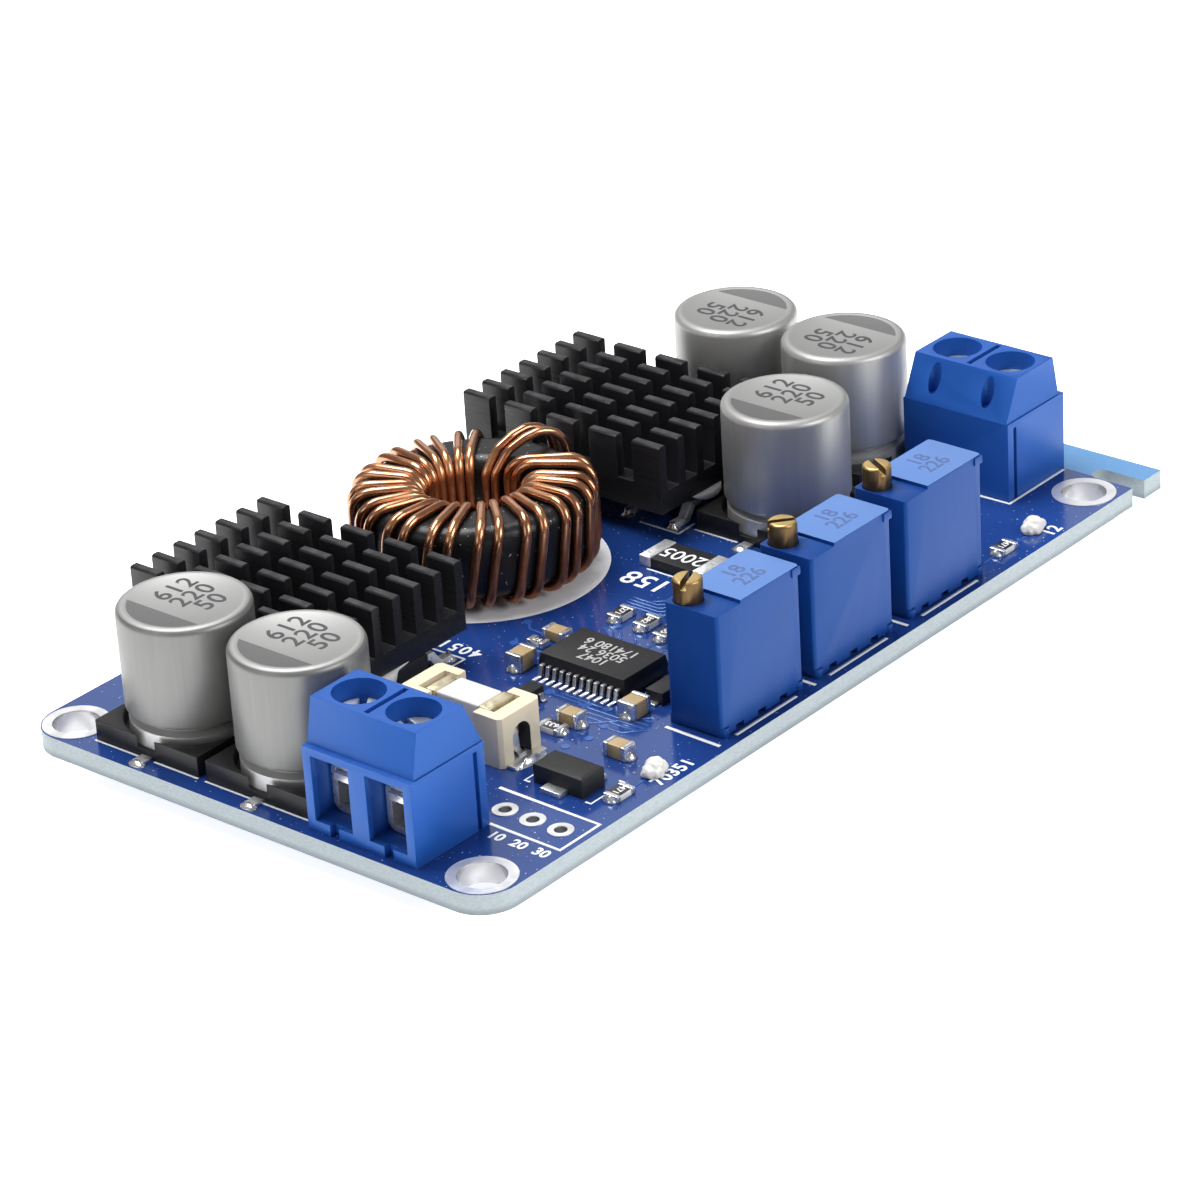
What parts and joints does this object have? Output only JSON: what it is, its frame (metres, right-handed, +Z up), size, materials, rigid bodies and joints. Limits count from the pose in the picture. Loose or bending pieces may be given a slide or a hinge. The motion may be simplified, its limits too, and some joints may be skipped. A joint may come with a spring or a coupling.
{
  "type": "buck-boost converter module",
  "caption": "Long blue circuit board with screw terminals at both ends, finned heatsinks, a wound toroid, round capacitors and a row of multi-turn trimmers.",
  "frame": {"origin": "midway between the four mounting holes, on the underside of the board", "axes": "+X along the board from the input terminal to the output terminal, +Y across it towards the heatsinks, +Z up out of the component side"},
  "size_m": [0.0816, 0.045, 0.0143],
  "materials": {
    "board_laminate": "glass-epoxy laminate under glossy dark blue solder mask, pale cut edges",
    "plated_ring": "tin-plated copper, soft shine",
    "sink_anodised": "black anodised, satin",
    "bond_grey": "soft grey thermal adhesive",
    "package_black": "moulded epoxy, fine matt",
    "tinned_lead": "tin-plated, bright",
    "core_coated": "black coated powder core",
    "winding_enamel": "enamelled copper wire, glossy",
    "can_aluminium": "satin drawn aluminium",
    "can_base": "moulded black base",
    "terminal_blue": "moulded polyamide, satin blue",
    "cage_steel": "nickel-plated strap",
    "screw_nickel": "nickel-plated screw",
    "trimmer_blue": "moulded thermoset, satin blue",
    "adjust_brass": "turned brass",
    "fuse_cream": "moulded cream thermoplastic",
    "fuse_ceramic": "white ceramic, smooth",
    "fuse_cap_plate": "plated brass, worn",
    "chip_resistor_black": "glazed black over white ceramic",
    "chip_ceramic_tan": "fired ceramic",
    "led_resin": "cloudy resin",
    "solder_tin": "reflowed solder, bright"
  },
  "bodies": {
    "module": {"capacitor_base_1": "can_base", "capacitor_base_2": "can_base", "capacitor_base_3": "can_base", "capacitor_base_4": "can_base", "capacitor_base_5": "can_base", "capacitor_can_1": "can_aluminium", "capacitor_can_2": "can_aluminium", "capacitor_can_3": "can_aluminium", "capacitor_can_4": "can_aluminium", "capacitor_can_5": "can_aluminium", "capacitor_leads": "tinned_lead", "chip_capacitor_ends": "solder_tin", "chip_capacitors": "chip_ceramic_tan", "chip_resistor_ends": "solder_tin", "chip_resistors": "chip_resistor_black", "circuit_board": "board_laminate", "controller_leads": "tinned_lead", "controller_package": "package_black", "fuse_body": "fuse_ceramic", "fuse_caps": "fuse_cap_plate", "fuse_clips": "tinned_lead", "fuse_holder": "fuse_cream", "heatsink_input": "sink_anodised", "heatsink_output": "sink_anodised", "inductor_core": "core_coated", "mosfet_leads_input": "tinned_lead", "mosfet_leads_output": "tinned_lead", "mosfets_input": "package_black", "mosfets_output": "package_black", "mounting_pads": "plated_ring", "shunt_body": "chip_resistor_black", "shunt_ends": "tinned_lead", "small_leads": "tinned_lead", "small_packages": "package_black", "solder_joints": "solder_tin", "status_leds": "led_resin", "terminal_contacts": "tinned_lead", "terminal_housing_input": "terminal_blue", "terminal_housing_output": "terminal_blue", "thermal_bond_input": "bond_grey", "thermal_bond_output": "bond_grey", "trimmer_body_1": "trimmer_blue", "trimmer_body_2": "trimmer_blue", "trimmer_body_3": "trimmer_blue", "trimmer_pins": "tinned_lead", "winding_strand_a": "winding_enamel", "winding_strand_b": "winding_enamel"},
    "clamp_screw_1": {"terminal_screw_1": "screw_nickel"},
    "clamp_cage_1": {"terminal_cage_1": "cage_steel"},
    "clamp_screw_2": {"terminal_screw_2": "screw_nickel"},
    "clamp_cage_2": {"terminal_cage_2": "cage_steel"},
    "clamp_screw_3": {"terminal_screw_3": "screw_nickel"},
    "clamp_cage_3": {"terminal_cage_3": "cage_steel"},
    "clamp_screw_4": {"terminal_screw_4": "screw_nickel"},
    "clamp_cage_4": {"terminal_cage_4": "cage_steel"},
    "adjuster_1": {"trimmer_screw_1": "adjust_brass"},
    "adjuster_2": {"trimmer_screw_2": "adjust_brass"},
    "adjuster_3": {"trimmer_screw_3": "adjust_brass"}
  },
  "joints": [
    {"name": "clamp_turn_1", "type": "hinge", "parent": "module", "child": "clamp_screw_1", "pos_m": [-0.03445, -0.00789, 0.0092], "axis": [0, 0, 1], "range_deg": [-936.5, 0]},
    {"name": "cage_rise_1", "type": "slide", "parent": "module", "child": "clamp_cage_1", "axis": [0, 0, 1], "range_m": [0, 0.0013]},
    {"name": "clamp_turn_2", "type": "hinge", "parent": "module", "child": "clamp_screw_2", "pos_m": [-0.03445, -0.01297, 0.0092], "axis": [0, 0, 1], "range_deg": [-936.5, 0]},
    {"name": "cage_rise_2", "type": "slide", "parent": "module", "child": "clamp_cage_2", "axis": [0, 0, 1], "range_m": [0, 0.0013]},
    {"name": "clamp_turn_3", "type": "hinge", "parent": "module", "child": "clamp_screw_3", "pos_m": [0.03542, -0.01332, 0.0092], "axis": [0, 0, 1], "range_deg": [-936.5, 0]},
    {"name": "cage_rise_3", "type": "slide", "parent": "module", "child": "clamp_cage_3", "axis": [0, 0, 1], "range_m": [0, 0.0013]},
    {"name": "clamp_turn_4", "type": "hinge", "parent": "module", "child": "clamp_screw_4", "pos_m": [0.03542, -0.00824, 0.0092], "axis": [0, 0, 1], "range_deg": [-936.5, 0]},
    {"name": "cage_rise_4", "type": "slide", "parent": "module", "child": "clamp_cage_4", "axis": [0, 0, 1], "range_m": [0, 0.0013]},
    {"name": "adjust_turn_1", "type": "hinge", "parent": "module", "child": "adjuster_1", "pos_m": [-0.01052, -0.01775, 0.0115], "axis": [0, 0, 1], "continuous": true},
    {"name": "adjust_turn_2", "type": "hinge", "parent": "module", "child": "adjuster_2", "pos_m": [0.00049, -0.01775, 0.0115], "axis": [0, 0, 1], "continuous": true},
    {"name": "adjust_turn_3", "type": "hinge", "parent": "module", "child": "adjuster_3", "pos_m": [0.01195, -0.01775, 0.0115], "axis": [0, 0, 1], "continuous": true}
  ],
  "couplings": [
    {"joint": "clamp_turn_1", "follows": "cage_rise_1", "rad_per_m": -12566},
    {"joint": "clamp_turn_2", "follows": "cage_rise_2", "rad_per_m": -12566},
    {"joint": "clamp_turn_3", "follows": "cage_rise_3", "rad_per_m": -12566},
    {"joint": "clamp_turn_4", "follows": "cage_rise_4", "rad_per_m": -12566}
  ]
}
